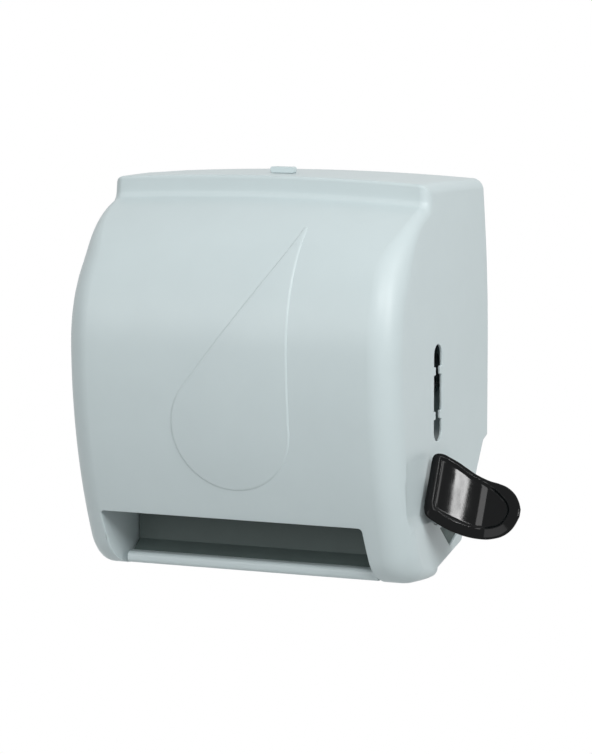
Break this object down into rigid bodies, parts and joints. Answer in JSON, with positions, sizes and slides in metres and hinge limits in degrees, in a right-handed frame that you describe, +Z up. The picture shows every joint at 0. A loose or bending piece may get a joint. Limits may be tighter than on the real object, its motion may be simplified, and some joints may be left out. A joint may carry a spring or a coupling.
{
  "type": "lever paper towel dispenser",
  "caption": "Wall-hung paper towel dispenser with a curved hinged cover, a side lever that feeds paper through rollers, and sprung arms for the roll.",
  "frame": {"origin": "middle of the four wall screw holes, on the wall's face", "axes": "+X to the right of someone facing the dispenser, +Y into the wall, +Z up"},
  "size_m": [0.376, 0.2225, 0.3405],
  "materials": {
    "cover_abs": "pale blue-grey moulded ABS, satin gloss",
    "lever_abs": "black moulded ABS, high gloss",
    "chassis_abs": "mid grey moulded ABS, fine spark-eroded texture",
    "dark_abs": "dark grey moulded ABS, matt",
    "acetal": "natural moulded acetal, waxy",
    "roller_rubber": "ground black rubber",
    "stainless_steel": "cold-rolled stainless steel",
    "spring_steel": "drawn spring steel",
    "zinc_steel": "bright zinc-plated steel"
  },
  "bodies": {
    "root": {"lock_catch": "chassis_abs", "back_plate": "chassis_abs", "lower_tray": "cover_abs", "side_frame_left": "chassis_abs", "side_frame_right": "chassis_abs", "gear_housing": "chassis_abs", "housing_screws": "zinc_steel", "frame_screws": "zinc_steel", "tray_screws": "zinc_steel", "paper_guide": "dark_abs", "cross_bar": "chassis_abs", "spring_bar": "chassis_abs", "tear_bar": "stainless_steel", "tear_bar_screws": "zinc_steel", "feed_bushes": "acetal", "pinch_bushes": "acetal", "pinch_springs": "spring_steel", "lever_bush": "acetal", "lever_spring": "spring_steel", "arm_pin_left": "zinc_steel", "arm_pin_right": "zinc_steel", "arm_spring_left": "spring_steel", "arm_spring_right": "spring_steel"},
    "cover": {"front_cover": "cover_abs"},
    "lock": {"slide_lock": "cover_abs"},
    "lever": {"hand_lever": "lever_abs", "lever_shaft": "stainless_steel", "sector_gear": "acetal", "lever_screw": "zinc_steel"},
    "feed_roller": {"feed_shaft": "stainless_steel", "feed_sleeves": "roller_rubber", "one_way_clutch": "stainless_steel", "feed_pinion": "acetal"},
    "pinch_roller": {"pinch_shaft": "stainless_steel", "pinch_sleeves": "roller_rubber"},
    "arm_left": {"roll_arm_left": "chassis_abs", "plug_pin_left": "stainless_steel"},
    "plug_left": {"core_plug_left": "acetal"},
    "arm_right": {"roll_arm_right": "chassis_abs", "plug_pin_right": "stainless_steel"},
    "plug_right": {"core_plug_right": "acetal"}
  },
  "joints": [
    {"name": "cover_hinge", "type": "hinge", "parent": "root", "child": "cover", "pos_m": [0, -0.12, -0.155], "axis": [1, 0, 0], "range_deg": [0, 100]},
    {"name": "lock_slide", "type": "slide", "parent": "cover", "child": "lock", "axis": [1, 0, 0], "range_m": [0, 0.006]},
    {"name": "lever_pull", "type": "hinge", "parent": "root", "child": "lever", "pos_m": [0, -0.12, -0.155], "axis": [1, 0, 0], "range_deg": [0, 60], "stiffness_Nm_per_rad": 0.25, "springref_deg": -20.05},
    {"name": "feed_spin", "type": "hinge", "parent": "root", "child": "feed_roller", "pos_m": [0, -0.15235, -0.12265], "axis": [1, 0, 0], "range_deg": [-225, 0]},
    {"name": "pinch_spin", "type": "hinge", "parent": "root", "child": "pinch_roller", "pos_m": [0, -0.13005, -0.12265], "axis": [1, 0, 0], "range_deg": [0, 395]},
    {"name": "arm_left_spread", "type": "hinge", "parent": "root", "child": "arm_left", "pos_m": [-0.112, -0.013, -0.015], "axis": [0, 0, -1], "range_deg": [0, 12], "stiffness_Nm_per_rad": 0.6, "springref_deg": -22.92},
    {"name": "plug_left_spin", "type": "hinge", "parent": "arm_left", "child": "plug_left", "pos_m": [0, -0.108, -0.015], "axis": [1, 0, 0], "continuous": true},
    {"name": "arm_right_spread", "type": "hinge", "parent": "root", "child": "arm_right", "pos_m": [0.112, -0.013, -0.015], "axis": [0, 0, 1], "range_deg": [0, 12], "stiffness_Nm_per_rad": 0.6, "springref_deg": -22.92},
    {"name": "plug_right_spin", "type": "hinge", "parent": "arm_right", "child": "plug_right", "pos_m": [0, -0.108, -0.015], "axis": [1, 0, 0], "continuous": true}
  ],
  "couplings": [
    {"joint": "feed_spin", "follows": "lever_pull", "ratio": -3.6923},
    {"joint": "pinch_spin", "follows": "lever_pull", "ratio": 6.4615}
  ]
}
